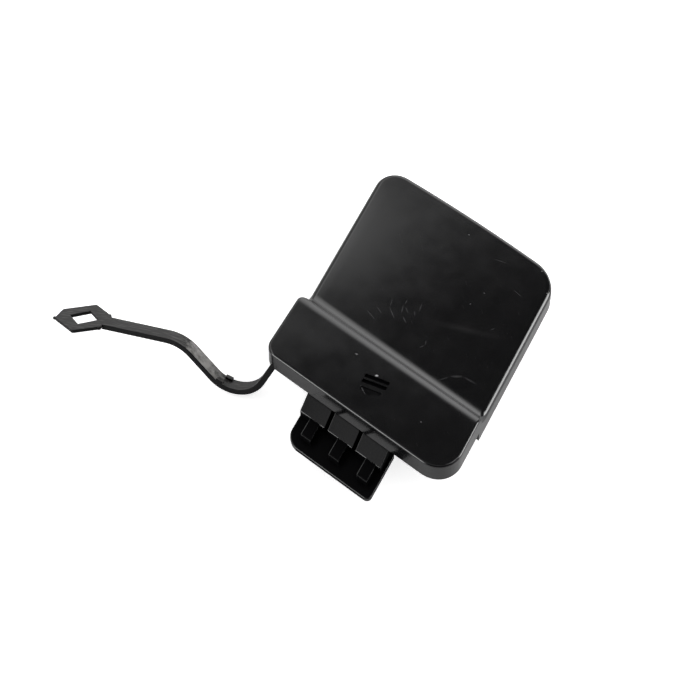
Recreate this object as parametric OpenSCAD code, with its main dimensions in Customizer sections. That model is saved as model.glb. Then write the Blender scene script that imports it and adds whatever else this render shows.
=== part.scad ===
// Clip-in cover for the towing-eye opening of a car bumper.
// One injection moulding: a stepped face with a turned-down skirt, a ribbed tongue that
// reaches behind the bumper skin, two snap hooks, stiffening ribs and a flat tether with
// an eye. Units are millimetres. +Z points out of the bumper, Y runs along the two side
// edges, and the origin is on the seat plane of the large panel, at the cover's middle.

/* [Cover] */
// Width between the side edges, square to them
cover_w = 86; // [76:1:100]
// Length square to the slanted top and bottom edges
cover_l = 106.6; // [96:0.1:120]
// Slant of the top, step and bottom edges
skew = 16; // [8:1:20]
// Depth of the skirt, from the rim to the seat
skirt_h = 8.5; // [7.5:0.1:12]
// Wall thickness of the moulding
wall = 2.4; // [1.8:0.1:2.8]
// Radius of the rounded rim
rim_r = 2.4; // [1.5:0.1:3]
// Height of the crown over the panel
crown = 0.9; // [0.3:0.1:1.5]
// Bow of the top edge
top_bow = 1.5; // [0:0.1:2.5]

/* [Raised band] */
// Length of the raised band from the bottom edge to the step
band_l = 31.1; // [26:0.1:38]
// Height of the band above the panel
step_h = 5; // [3.5:0.1:6]
// Radius of the band's upper edge, where it rolls over into the step
step_r = 7.5; // [5:0.1:9]
// Radius of the hollow where the step runs out into the panel
foot_r = 7.5; // [5:0.1:9]
// How far the band stands out past the panel at the left side
band_out = 2.2; // [0:0.1:3]

/* [Corners] */
// Radius of the top left corner
top_left_r = 8.5; // [5:0.5:16]
// Radius of the top right corner
top_right_r = 15.5; // [6:0.5:18]
// Radius of the bottom left corner
bottom_left_r = 6.5; // [5:0.5:10]
// Radius of the bottom right corner
bottom_right_r = 10; // [6:0.5:15]

/* [Press mark] */
// Width of the sunk arrow
mark_w = 10; // [6:0.5:12]
// Height of the sunk arrow
mark_l = 9.5; // [7:0.5:12]
// Depth of the sunk arrow
mark_depth = 0.6; // [0.3:0.1:1]
// Height of each bar over the arrow's head
mark_bar = 1.5; // [0.8:0.1:2]
// Space between the bars
mark_space = 1.1; // [0.6:0.1:1.4]
// Distance of the arrow's point from the bottom edge, along Y
mark_gap = 9.4; // [7:0.1:12]

/* [Tongue] */
// Width of the tongue
tongue_w = 40.7; // [30:0.1:50]
// Sideways place of the tongue's middle
tongue_x = -4.4; // [-8:0.1:4]
// Reach of the tongue past the bottom edge
tongue_reach = 18.2; // [14:0.1:24]
// Thickness of the tongue
tongue_t = 2; // [1.6:0.1:3]
// Gap between the band's seat and the top of the tongue
tongue_drop = 8; // [6:0.1:10]
// Radius of the tongue's left corner
tongue_left_r = 8; // [3:0.5:10]
// Radius of the tongue's right corner
tongue_right_r = 2; // [1:0.5:6]
// Distance of the web from the bottom edge
web_inset = 3.6; // [3:0.1:6]
// Number of wedges and ribs on the tongue
rib_count = 3; // [2:1:3]
// Width of each rib
rib_w = 5; // [3:0.1:6]
// Height of each rib above the tongue
rib_h = 3; // [2:0.1:4]
// Distance from the ribs' front to the tongue's front edge
rib_back = 4.5; // [2:0.1:8]
// Reach of the wedges past the bottom edge
wedge_reach = 5.6; // [3:0.1:8]
// Slot between neighbouring wedges
wedge_slot = 1.5; // [1:0.1:3]

/* [Snap hooks] */
// Distance between the two hooks
hook_pitch = 38; // [28:1:50]
// Width of each hook
hook_w = 10; // [6:0.5:14]
// Thickness of the hook's arm
hook_t = 2; // [1.5:0.1:2.5]
// Reach of the hooks below the seat plane
hook_reach = 10; // [7:0.5:14]
// How far the barb stands out of the arm
hook_barb = 2.4; // [1.5:0.1:3]
// Distance of the hooks from the top edge
hook_inset = 5.4; // [4.6:0.1:8]
// Distance from the hooks' tips up to the barb's catch
hook_catch = 6; // [4:0.1:6.5]
// Length of the gussets behind the hooks
gusset_l = 6; // [3:0.5:10]

/* [Stiffening ribs] */
// Thickness of the ribs under the panel
stiff_t = 1.4; // [1:0.1:2]
// Depth of the ribs under the panel
stiff_h = 4; // [2:0.1:5]
// Distance between the ribs that run along the panel
stiff_pitch = 24; // [16:1:30]

/* [Tether] */
// Width of the tether
tether_w = 6.1; // [4.5:0.1:8]
// Thickness of the tether
tether_t = 2.4; // [1.6:0.1:2.8]
// Length of the drop from the band to the first bend
tether_drop = 18; // [15:0.1:22]
// Inner radius of the bend below the cover
tether_bend_r = 12; // [9:0.1:15]
// Length of the rising stretch
tether_rise = 12.4; // [8:0.1:18]
// Inner radius of the crest
tether_crest_r = 13.8; // [9:0.1:18]
// Length of the falling stretch before the eye
tether_run = 25.4; // [20:0.1:45]
// Size of the two stubs that stand on the tether's edges
stub = 2; // [1:0.1:2.5]

/* [Eye] */
// Length of the eye from the neck to its nose
eye_l = 21; // [18:0.2:28]
// Width of the eye
eye_w = 20; // [16:0.2:24]
// Width of the neck
eye_neck = 8.8; // [7:0.2:11]
// Distance from the neck to the middle of the hole
eye_mid = 9.2; // [8.6:0.1:12]
// Length of the diamond hole
eye_hole_l = 13; // [10:0.2:14]
// Width of the diamond hole
eye_hole_w = 9.8; // [7:0.2:11]
// Width of the blunt nose
eye_nose = 6.6; // [4:0.2:8]
// Thickness of the eye
eye_t = 1.6; // [1.2:0.1:1.8]
// Size of the gate marks at the nose and the neck
eye_nub = 1.1; // [0.5:0.1:2]

/* [Hidden] */

black_plastic = [0.13, 0.13, 0.14];

// Steps in a rounded corner of an outline, in the rounded rim and in the crown
arc_steps = 8;
rim_steps = 5;
crown_steps = 3;
// Thickness of a slice that a slab is stretched over
slice = 0.01;
// Overlap of pieces that grow out of each other
bite = 0.6;

panel_z = skirt_h;
band_z = skirt_h + step_h;
band_seat_z = step_h;
top_v = cover_l / 2;
bottom_v = -cover_l / 2;
step_v = bottom_v + band_l;
side_x = cover_w / 2;
// Slope of the step in its middle, where its two radii meet, and the reach of each radius
step_slope = acos(1 - step_h / (step_r + foot_r));
step_reach = step_r * sin(step_slope);
foot_reach = foot_r * sin(step_slope);
foot_rise = foot_r * (1 - cos(step_slope));
// The panel's left edge leans: it is widest at the top
left_lean = 1.6;
left_inset = 0.4;
panel_left_low = left_inset - side_x;
panel_left_top = panel_left_low - left_lean;
band_left = panel_left_low - band_out;
// The band's left edge flares towards the bottom
band_flare = 0.8;
// Share of the panel's and the band's width over which the crown rises on each side
crown_share = 0.4;
band_crown_share = 0.45;
panel_crown_reach = crown_share * min(cover_w, cover_l - band_l);
band_crown_reach = band_crown_share * (band_l - rim_r - step_reach);
// The band's crown is lower than the panel's by this factor
band_crown = crown * crown_share;
// Smallest corner radius of a drawn-in outline
least_r = 0.6;
// The foot of the step starts a little over the panel, and ends inside the rounded rim
foot_lift = 0.1;
foot_inset = 0.7;

tongue_z = band_seat_z - tongue_drop;
tongue_left = tongue_x - tongue_w / 2;
tongue_right = tongue_x + tongue_w / 2;
tongue_front_v = bottom_v - tongue_reach;
web_v = bottom_v + web_inset;
rib_pitch = tongue_w / rib_count;
wedge_front_v = bottom_v - wedge_reach;
// Play between the wedges and the inside of the bumper skin
skin_play = 0.6;
wedge_top_z = band_seat_z - skin_play;
// Place of each rib across its wedge, from 0 at the left to 1 at the right
rib_side = 0.58;
// Flat of the hook's tip, straight land of its barb, and slope of its catch
hook_tip = 1.4;
hook_land = 1;
hook_back = 0.4;
// The hooks stand evenly about the middle of the top edge
hook_middle = -top_v * tan(skew);
// Height of the arrow's shoulders, as a share of its head
mark_shoulder = 0.62;
// Radius of the tongue's inner corners, which the web covers
hidden_r = 0.1;

// The tether leaves the band's underside just inside the left skirt and turns in one plane
tether_side_gap = 3.6;
tether_edge_gap = 5.9;
tether_x = band_left + wall + tether_side_gap;
tether_y = at(tether_x, bottom_v)[1] + tether_edge_gap;
tether_heading = -5;
tether_roll = 17.3;
// Slopes of the tether's straight stretches and of the eye
tether_steep = -67;
tether_up = 40.4;
tether_fall = -5.2;
eye_fall = -12.5;
neck_r = 12;
// Radius of the eye's corners
eye_corner_r = 1.2;
// The eye is turned a little in its own plane
eye_turn = 5.5;

// A point at a given x on the slanted line that lies a distance v up the cover
function at(x, v) = [x, (v - x * sin(skew)) / cos(skew)];

function unit(p) = p / norm(p);

// Points of the arc that rounds the corner b of the outline a, b, c
function corner(a, b, c, r) =
    let(
        one = unit(a - b),
        two = unit(c - b),
        half = acos(max(-1, min(1, one * two))) / 2,
        room = min(norm(a - b), norm(c - b)) * 0.49,
        radius = min(r, room * tan(half)),
        middle = b + unit(one + two) * radius / sin(half),
        from = b + one * radius / tan(half) - middle,
        to = b + two * radius / tan(half) - middle,
        start = atan2(from[1], from[0]),
        sweep = atan2(from[0] * to[1] - from[1] * to[0], from * to)
    )
    [for (i = [0:arc_steps])
        middle + radius * [cos(start + sweep * i / arc_steps), sin(start + sweep * i / arc_steps)]];

// An outline with each corner rounded to its own radius
function rounded(points, radii) =
    [for (i = [0:len(points) - 1])
        each corner(
            points[(i + len(points) - 1) % len(points)],
            points[i],
            points[(i + 1) % len(points)],
            radii[i])];

// The bow lifts every point of the upper half of the panel by how far along the edge it lies
function bowed(points) =
    [for (p = points)
        let(
            v = p[0] * sin(skew) + p[1] * cos(skew),
            share = max(0, 1 - pow(p[0] / side_x, 2)),
            lift = v > 0 ? top_bow * share * v / top_v : 0
        )
        p + lift * [sin(skew), cos(skew)]];

// Extra points along an edge, so that the bow can bend it
function split_edge(a, b, count) = [for (i = [1:count - 1]) a + (b - a) * i / count];

function panel_corners(margin) = [
    at(panel_left_low + margin, step_v - wall),
    at(side_x - margin, step_v - wall),
    at(side_x - margin, top_v - margin),
    at(panel_left_top + margin, top_v - margin)
];

function panel_outline(margin) =
    let(
        c = panel_corners(margin),
        low = [c[0], c[1]],
        right = corner(c[1], c[2], c[3], max(least_r, top_right_r - margin)),
        left = corner(c[2], c[3], c[0], max(least_r, top_left_r - margin)),
        top = split_edge(right[arc_steps], left[0], 2 * arc_steps)
    )
    bowed(concat(low, right, top, left));

function band_outline(margin, step_margin) =
    rounded(
        [
            at(band_left - band_flare + margin, bottom_v + margin),
            at(side_x - margin, bottom_v + margin),
            at(side_x - margin, step_v - step_margin),
            at(band_left + margin, step_v - step_margin)
        ],
        [
            max(least_r, bottom_left_r - margin),
            max(least_r, bottom_right_r - margin),
            least_r,
            max(least_r, band_out + least_r - margin)
        ]);

function tongue_outline() =
    rounded(
        [
            at(tongue_left, web_v + bite),
            at(tongue_left, tongue_front_v),
            at(tongue_right, tongue_front_v),
            at(tongue_right, web_v + bite)
        ],
        [hidden_r, tongue_left_r, tongue_right_r, hidden_r]);

// Places, in the slanted frame of the edges
module on_edge() {
    rotate([0, 0, -skew])
        children();
}

// A profile drawn as [v, z], stretched along the slanted edges from one u to another
module along_edge(from, to) {
    on_edge()
        translate([from, 0, 0])
            rotate([90, 0, 90])
                linear_extrude(height = to - from)
                    children();
}

// The panel's outer form: straight skirt, rounded rim and a low crown
module panel_form() {
    hull() {
        linear_extrude(height = slice)
            polygon(panel_outline(0));
        for (i = [0:rim_steps]) {
            turn = 90 * i / rim_steps;
            translate([0, 0, panel_z - rim_r + rim_r * sin(turn) - slice])
                linear_extrude(height = slice)
                    polygon(panel_outline(rim_r * (1 - cos(turn))));
        }
        for (i = [1:crown_steps]) {
            share = i / crown_steps;
            translate([0, 0, panel_z + crown * (1 - pow(1 - share, 2)) - slice])
                linear_extrude(height = slice)
                    polygon(panel_outline(rim_r + share * panel_crown_reach));
        }
    }
}

// How far the step's upper radius draws the band in, at a given drop below the band
function step_inset(drop) =
    max(0, step_reach - step_r * sin(acos(1 - drop / step_r)));

// The band's outer form, which rolls over with a larger radius along the step
module band_form() {
    hull() {
        translate([0, 0, band_seat_z])
            linear_extrude(height = slice)
                polygon(band_outline(0, 0));
        for (i = [0:rim_steps]) {
            turn = 90 * i / rim_steps;
            drop = rim_r * (1 - sin(turn));
            translate([0, 0, band_z - drop - slice])
                linear_extrude(height = slice)
                    polygon(band_outline(rim_r * (1 - cos(turn)), step_inset(drop)));
        }
        for (i = [1:crown_steps]) {
            share = i / crown_steps;
            inset = share * band_crown_reach;
            translate([0, 0, band_z + band_crown * (1 - pow(1 - share, 2)) - slice])
                linear_extrude(height = slice)
                    polygon(band_outline(rim_r + inset, step_reach + inset));
        }
    }
}

// Lower half of the step, which runs out into the panel with a hollow radius
module step_foot() {
    intersection() {
        along_edge(-cover_l, cover_l)
            difference() {
                translate([step_v - bite, panel_z - bite])
                    square([foot_reach + bite, foot_rise + bite]);
                translate([step_v + foot_reach, panel_z + foot_r + foot_lift])
                    circle(r = foot_r, $fn = 96);
            }
        linear_extrude(height = band_z)
            polygon(panel_outline(rim_r * foot_inset));
    }
}

// The hollow inside of the shell
module hollow() {
    translate([0, 0, -slice])
        linear_extrude(height = panel_z - wall + slice)
            polygon(panel_outline(wall));
    translate([0, 0, -slice])
        linear_extrude(height = band_z - wall + slice)
            polygon(band_outline(wall, wall));
    translate([0, 0, -slice])
        linear_extrude(height = panel_z - wall + slice)
            polygon([
                at(panel_left_low + wall, step_v - 2 * wall),
                at(side_x - wall, step_v - 2 * wall),
                at(side_x - wall, step_v + 2 * wall),
                at(panel_left_low + wall, step_v + 2 * wall)
            ]);
}

// Sunk arrow that shows where to press: two bars over a head that points to the tongue
module press_mark() {
    head = mark_l - 2 * (mark_bar + mark_space);
    shoulder = head * mark_shoulder;
    tip_y = at(0, bottom_v)[1] + mark_gap;
    translate([0, tip_y, band_z - mark_depth])
        linear_extrude(height = mark_depth + 2 * crown) {
            polygon([
                [0, 0],
                [mark_w / 2, shoulder],
                [mark_w / 2, head],
                [-mark_w / 2, head],
                [-mark_w / 2, shoulder]
            ]);
            for (i = [1:2])
                translate([-mark_w / 2, head + i * mark_space + (i - 1) * mark_bar])
                    square([mark_w, mark_bar]);
        }
}

module shell() {
    difference() {
        union() {
            panel_form();
            band_form();
            step_foot();
        }
        hollow();
        press_mark();
    }
}

// Tongue with its web, and the wedges and ribs that press on the inside of the bumper skin
module tongue() {
    translate([0, 0, tongue_z - tongue_t])
        linear_extrude(height = tongue_t)
            polygon(tongue_outline());
    translate([0, 0, tongue_z - tongue_t])
        linear_extrude(height = band_z - wall + bite - tongue_z + tongue_t)
            polygon([
                at(tongue_left, web_v),
                at(tongue_right, web_v),
                at(tongue_right, web_v + wall),
                at(tongue_left, web_v + wall)
            ]);
    for (i = [0:rib_count - 1]) {
        left = tongue_left + i * rib_pitch;
        intersection() {
            along_edge(-cover_w, cover_w)
                polygon([
                    [web_v + bite, tongue_z - bite],
                    [web_v + bite, wedge_top_z],
                    [wedge_front_v, tongue_z + rib_h],
                    [wedge_front_v, tongue_z - bite]
                ]);
            translate([left, -cover_l, tongue_z - tongue_t])
                cube([rib_pitch - wedge_slot, cover_l, tongue_drop + tongue_t]);
        }
        rib_left = left + (rib_pitch - rib_w) * rib_side;
        translate([0, 0, tongue_z - bite])
            linear_extrude(height = rib_h + bite)
                polygon([
                    at(rib_left, tongue_front_v + rib_back),
                    at(rib_left + rib_w, tongue_front_v + rib_back),
                    at(rib_left + rib_w, web_v),
                    at(rib_left, web_v)
                ]);
    }
}

// One snap hook: an arm with a barb that catches behind the opening's top edge
module snap_hook(middle) {
    face_v = top_v - hook_inset;
    root_z = panel_z - wall + bite;
    catch_z = hook_catch - hook_reach;
    along_edge(middle - hook_w / 2, middle + hook_w / 2)
        polygon([
            [face_v - hook_t, root_z],
            [face_v - hook_t, -hook_reach],
            [face_v - hook_t + hook_tip, -hook_reach],
            [face_v + hook_barb, catch_z - hook_land],
            [face_v + hook_barb, catch_z],
            [face_v, catch_z + hook_back],
            [face_v, root_z]
        ]);
    for (side = [-1, 1]) {
        gusset = middle + side * (hook_w - stiff_t) / 2;
        along_edge(gusset - stiff_t / 2, gusset + stiff_t / 2)
            polygon([
                [face_v - hook_t + bite, root_z],
                [face_v - hook_t + bite, catch_z],
                [face_v - hook_t - gusset_l, root_z]
            ]);
    }
}

// Ribs under the panel: two along it, between the hooks and the step, and one across
module stiffeners() {
    low_z = panel_z - wall - stiff_h;
    intersection() {
        union() {
            for (side = [-1, 1])
                translate([side * stiff_pitch / 2 - stiff_t / 2, -cover_l, low_z])
                    cube([stiff_t, 2 * cover_l, stiff_h + bite]);
            along_edge(-cover_w, cover_w)
                translate([(step_v + top_v) / 2 - stiff_t / 2, low_z])
                    square([stiff_t, stiff_h + bite]);
        }
        linear_extrude(height = panel_z)
            polygon(panel_outline(wall - bite));
        along_edge(-cover_l, cover_l)
            translate([step_v - wall, 0])
                square([top_v - hook_inset - hook_t - step_v + wall, panel_z]);
    }
}

// Route of the tether as [length or bend radius, turn], a straight stretch having no turn
route = [
    [tether_drop, 0],
    [tether_bend_r + tether_t / 2, tether_up - tether_steep],
    [tether_rise, 0],
    [tether_crest_r + tether_t / 2, tether_fall - tether_up],
    [tether_run, 0],
    [neck_r, eye_fall - tether_fall]
];
bend_step = 7;

// Places along the route, each [x, y, heading], from the place and leg given
function walk(place, leg) =
    leg >= len(route) ? [place] :
    let(
        size = route[leg][0],
        turn = route[leg][1],
        count = turn == 0 ? 1 : ceil(abs(turn) / bend_step),
        legs = turn == 0
            ? [place, place + size * [cos(place[2]), sin(place[2]), 0]]
            : [for (i = [0:count])
                let(
                    way = sign(turn),
                    h = place[2] + turn * i / count,
                    cx = place[0] - way * size * sin(place[2]),
                    cy = place[1] + way * size * cos(place[2])
                )
                [cx + way * size * sin(h), cy - way * size * cos(h), h]]
    )
    concat([for (i = [0:len(legs) - 2]) legs[i]], walk(legs[len(legs) - 1], leg + 1));

places = walk([0, 0, tether_steep], 0);
tether_end = places[len(places) - 1];
// The two stubs stand a little apart, short of the end of the bend
bend_end = ceil((tether_up - tether_steep) / bend_step);
stub_back = 2;

function beside(p, off) = [p[0] - off * sin(p[2]), p[1] + off * cos(p[2])];

module tether_side_view() {
    over = [for (p = places) beside(p, tether_t / 2)];
    under = [for (i = [len(places) - 1:-1:0]) beside(places[i], -tether_t / 2)];
    polygon(concat(over, under));
}

// Outline of the eye, lying along x from the neck
function eye_outline() =
    let(nose = eye_nose / 2)
    rounded(
        [
            [-bite, -eye_neck / 2],
            [eye_mid, -eye_w / 2],
            [eye_l, -nose],
            [eye_l, nose],
            [eye_mid, eye_w / 2],
            [-bite, eye_neck / 2]
        ],
        [least_r, eye_corner_r, least_r, eye_corner_r, eye_corner_r, least_r]);

// Flat eye with a diamond hole, and the small marks that the moulding gates leave on it
module eye() {
    linear_extrude(height = eye_t)
        difference() {
            union() {
                polygon(eye_outline());
                translate([eye_l, (eye_nub - eye_nose) / 2])
                    square([2 * eye_nub, eye_nub], center = true);
                for (side = [-1, 1])
                    translate([0, side * eye_neck / 2])
                        rotate([0, 0, 45])
                            square(eye_nub, center = true);
            }
            polygon([
                [eye_mid - eye_hole_l / 2, 0],
                [eye_mid, -eye_hole_w / 2],
                [eye_mid + eye_hole_l / 2, 0],
                [eye_mid, eye_hole_w / 2]
            ]);
        }
}

module tether() {
    translate([tether_x, tether_y, band_z - wall + bite])
        rotate([0, 0, 180 - tether_heading])
            rotate([90 + tether_roll, 0, 0]) {
                linear_extrude(height = tether_w, center = true)
                    tether_side_view();
                for (side = [-1, 1]) {
                    foot = places[bend_end - stub_back - side];
                    translate([foot[0], foot[1], side * (tether_w - stub) / 2])
                        rotate([0, 0, foot[2]])
                            translate([0, (tether_t + stub - bite) / 2, 0])
                                cube([stub, stub + bite, stub], center = true);
                }
                translate([tether_end[0], tether_end[1], 0])
                    rotate([90, 0, tether_end[2]])
                        translate([0, 0, -tether_t / 2])
                            rotate([0, 0, eye_turn])
                                eye();
            }
}

module tow_hook_cover() {
    color(black_plastic) {
        shell();
        tongue();
        for (side = [-1, 1])
            snap_hook(hook_middle + side * hook_pitch / 2);
        stiffeners();
        tether();
    }
}

tow_hook_cover();
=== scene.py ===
"""Clip-in cover for a bumper's towing-eye opening, as an injection moulding with wear.

It models the stepped cover, its tongue, snap hooks, stiffening ribs and flat tether round the
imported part, and lights them on a plain pale floor. Lengths in the code are millimetres.
"""

import math
from types import SimpleNamespace

import bmesh
import bpy
from bpy.props import FloatProperty, FloatVectorProperty, PointerProperty
from bpy.types import Operator, Panel, PropertyGroup
from mathutils import Matrix, Vector


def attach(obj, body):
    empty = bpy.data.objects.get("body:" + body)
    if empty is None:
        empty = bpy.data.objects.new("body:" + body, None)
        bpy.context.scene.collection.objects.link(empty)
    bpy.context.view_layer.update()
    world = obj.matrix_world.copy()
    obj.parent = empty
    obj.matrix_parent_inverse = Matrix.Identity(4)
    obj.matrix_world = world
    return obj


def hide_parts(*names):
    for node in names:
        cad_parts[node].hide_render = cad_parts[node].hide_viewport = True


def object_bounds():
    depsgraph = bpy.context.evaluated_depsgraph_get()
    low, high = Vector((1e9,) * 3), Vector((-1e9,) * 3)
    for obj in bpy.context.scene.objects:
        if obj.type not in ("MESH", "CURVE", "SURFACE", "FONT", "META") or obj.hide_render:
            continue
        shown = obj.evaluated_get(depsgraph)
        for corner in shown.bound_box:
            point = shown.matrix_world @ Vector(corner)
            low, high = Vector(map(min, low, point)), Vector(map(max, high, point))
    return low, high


bl_info = {
    "name": "Bumper tow hook cover",
    "version": (1, 0, 0),
    "blender": (4, 5, 0),
    "location": "View3D > Sidebar > Tow cover",
    "description": "Models and finishes a clip-in cover with its tongue, hooks and tether",
    "category": "Object",
}

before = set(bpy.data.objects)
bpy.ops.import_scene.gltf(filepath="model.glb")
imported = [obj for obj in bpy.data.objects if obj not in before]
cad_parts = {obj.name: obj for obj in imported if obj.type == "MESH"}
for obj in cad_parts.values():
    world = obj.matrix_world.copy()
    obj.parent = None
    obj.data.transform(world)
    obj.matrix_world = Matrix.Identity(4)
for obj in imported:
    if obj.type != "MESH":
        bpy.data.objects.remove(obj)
cad_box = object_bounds()

NODE = "tow_hook_cover"
MM = 0.001
# Two points nearer than this, in millimetres, are one place
TOUCH = 0.001
# Overlap of pieces that grow out of each other
BITE = 0.6
# Cuts across each of the step's two radii
STEP_CUTS = 12
# Width of the strip along the middle of the step that is painted dark as the crease's shade, seen
# from above
PAINTED_CREASE_SHADE = 0.4


def linear(code):
    """A colour written as an sRGB hex code, in linear light."""
    values = [int(code[i:i + 2], 16) / 255 for i in (1, 3, 5)]
    return [c / 12.92 if c <= 0.04045 else ((c + 0.055) / 1.055) ** 2.4 for c in values]


def length(name, description, millimetres):
    """A length that a user can change."""
    return FloatProperty(name=name, description=description, default=millimetres * MM,
                         unit="LENGTH", precision=4)


def angle(name, description, degrees):
    """An angle that a user can change."""
    return FloatProperty(name=name, description=description, default=math.radians(degrees),
                         subtype="ANGLE")


def colour(name, description, code):
    """A colour that a user can change."""
    return FloatVectorProperty(name=name, description=description, default=linear(code),
                               subtype="COLOR", min=0, max=1)


class CoverSizes(PropertyGroup):
    """Sizes of the stepped cover."""
    width: length("Width", "Between the side edges, square to them", 86)
    height: length("Length", "Square to the slanted top and bottom edges", 106.6)
    skew: angle("Slant", "Slant of the top, step and bottom edges", 16)
    skirt: length("Skirt", "Depth of the skirt", 8.5)
    wall: length("Wall", "Thickness of the moulding", 2.4)
    rim: length("Rim radius", "Radius of the panel's rounded rim", 2.4)
    band_rim: length("Band rim radius", "Radius of the raised band's rim", 2.4)
    crown: length("Crown", "Height of the crown over the panel", 0.8)
    band_crown: length("Band crown", "Height of the crown over the band", 0.3)
    bow: length("Bow", "Bow of the top edge", 1.27)
    band: length("Band", "Length of the raised band up to the step", 31.1)
    step: length("Step", "Height of the band above the panel", 5)
    step_rim: length("Step radius", "Radius over which the band rolls into the step", 7.5)
    foot: length("Foot radius", "Hollow radius over which the step runs out", 7.5)
    step_wall: length("Step wall", "Upright wall between the step's two radii", 0.5)
    band_out: length("Band overhang", "How far the band stands out at the left", 2.2)
    flare: length("Band flare", "How far the band's left edge flares at the bottom", 0.8)
    lean: length("Lean", "Lean of the panel's left edge", 1.6)
    left_inset: length("Left inset", "Inset of the panel's left edge at the step", 0.4)
    top_left: length("Top left radius", "Radius of the top left corner", 8.5)
    top_right: length("Top right radius", "Radius of the top right corner", 15.5)
    bottom_left: length("Bottom left radius", "Radius of the bottom left corner", 6.5)
    bottom_right: length("Bottom right radius", "Radius of the bottom right corner", 10)
    small: length("Step corner radius", "Radius of the band's corners at the step", 1.2)


class MarkSizes(PropertyGroup):
    """Sizes of the sunk arrow that shows where to press."""
    width: length("Width", "Width of the arrow", 10)
    height: length("Height", "Height of the arrow with its bars", 9.5)
    depth: length("Depth", "Depth of the arrow", 0.6)
    bar: length("Bar", "Height of each bar", 1.5)
    space: length("Space", "Space between the bars", 1.1)
    gap: length("Gap", "Distance of the point from the bottom edge", 9.4)
    draft: length("Draft", "How much wider the arrow is at the surface", 0.3)
    head_draft: length("Head draft", "How much narrower the head is at its floor", 1.0)
    shoulder: FloatProperty(name="Shoulder", default=0.5, min=0, max=1, subtype="FACTOR",
                            description="Height of the head's sides, as a share of the head")


class TongueSizes(PropertyGroup):
    """Sizes of the tongue that reaches behind the bumper skin."""
    width: length("Width", "Width of the tongue", 40.7)
    middle: length("Middle", "Sideways place of its middle", -4.4)
    reach: length("Reach", "Reach past the bottom edge", 18.15)
    thick: length("Thickness", "Thickness of the tongue", 2)
    drop: length("Drop", "Gap between the band's seat and the tongue", 8)
    left_corner: length("Left radius", "Radius of the left corner", 8)
    right_corner: length("Right radius", "Radius of the right corner", 2)
    web_inset: length("Web inset", "Distance of the web from the bottom edge", 3.6)
    rib_w: length("Rib width", "Width of each rib", 5)
    rib_h: length("Rib height", "Height of each rib", 3)
    rib_back: length("Rib back", "Distance from the ribs to the front edge", 4.5)
    wedge_reach: length("Wedge reach", "Reach of the wedges past the bottom edge", 5.6)
    slot: length("Slot", "Slot between the wedges", 1.5)
    play: length("Play", "Play between the wedges and the bumper skin", 0.6)
    edge: length("Edge radius", "Radius of the moulded edges", 0.35)


class HookSizes(PropertyGroup):
    """Sizes of the snap hooks and the stiffening ribs."""
    pitch: length("Pitch", "Distance between the hooks", 38)
    width: length("Width", "Width of each hook", 10)
    thick: length("Thickness", "Thickness of the hook's arm", 2)
    reach: length("Reach", "Reach below the seat plane", 10)
    barb: length("Barb", "How far the barb stands out", 2.4)
    inset: length("Inset", "Distance from the top edge", 5.4)
    catch: length("Catch", "Height of the catch over the tip", 6)
    gusset: length("Gusset", "Length of the gussets", 6)
    rib_t: length("Rib thickness", "Thickness of the stiffening ribs", 1.4)
    rib_h: length("Rib depth", "Depth of the stiffening ribs", 4)
    rib_pitch: length("Rib pitch", "Distance between the ribs", 24)


class TetherSizes(PropertyGroup):
    """Sizes of the flat tether and its eye."""
    width: length("Width", "Width of the tether", 6.1)
    thick: length("Thickness", "Thickness of the tether", 2.4)
    drop: length("Drop", "Straight drop from the band", 18)
    bend: length("Bend radius", "Inner radius of the bend below the cover", 12)
    rise: length("Rise", "Length of the rising stretch", 12.4)
    crest: length("Crest radius", "Inner radius of the crest", 13.8)
    run: length("Run", "Length of the falling stretch", 25.4)
    neck: length("Neck radius", "Radius of the bend at the eye's neck", 12)
    stub: length("Stub", "Size of the two stubs", 2)
    eye_l: length("Eye length", "Length from the neck to the nose", 21)
    eye_w: length("Eye width", "Width of the eye", 20)
    eye_neck: length("Eye neck", "Width of the neck", 8.8)
    eye_mid: length("Eye middle", "Distance from the neck to the hole's middle", 9.2)
    hole_l: length("Hole length", "Length of the diamond hole", 13)
    hole_w: length("Hole width", "Width of the diamond hole", 9.8)
    nose: length("Nose", "Width of the blunt nose", 6.6)
    eye_t: length("Eye thickness", "Thickness of the eye", 1.6)
    corner: length("Eye corner radius", "Radius of the eye's corners", 1.2)
    nub: length("Gate mark", "Size of the gate marks", 1.1)
    edge: length("Edge radius", "Radius of the tether's edges", 0.3)


class FinishColours(PropertyGroup):
    """Colours of the moulded plastic."""
    shell: colour("Cover", "Satin face of the cover", "#0f0f10")
    # Painted shade: the tongue's flat faces, the sunk arrow's walls and bar floors and the step's
    # crease are painted this near-black
    recess: colour("Recess", "Matt faces of the tongue and the sunk bars", "#040405")
    tether: colour("Tether", "Weathered plastic of the tether", "#232222")
    stress: colour("Stress mark", "Whitened plastic where the tether was bent", "#bab8b5")
    # Painted shade: the tether's narrow edges and its stretch under the cover are painted this
    # near-black
    edge: colour("Tether edge", "Tether's edges, painted dark as their shade", "#0d0d0e")
    # This colour also paints a glint on the sunk arrow's upper bar and a highlight along its head's
    # lower left edge
    scuff: colour("Scuff", "Rubbed and scratched plastic", "#c4c4c6")
    floor: colour("Floor", "Pale studio floor", "#f7f7f7")


GROUPS = {
    "cover": CoverSizes,
    "mark": MarkSizes,
    "tongue": TongueSizes,
    "hook": HookSizes,
    "tether": TetherSizes,
    "finish": FinishColours,
}


def sizes(name):
    """The lengths of a property group in millimetres; angles and shares stay as they are."""
    group = getattr(bpy.context.scene, "tow_cover_" + name)
    kinds = group.bl_rna.properties
    return SimpleNamespace(**{
        key: getattr(group, key) / (MM if kinds[key].unit == "LENGTH" else 1)
        for key in group.__annotations__})


def finish_colours():
    """The colours of the finishes, as shader colours."""
    group = bpy.context.scene.tow_cover_finish
    return SimpleNamespace(**{key: (*getattr(group, key), 1) for key in group.__annotations__})


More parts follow.
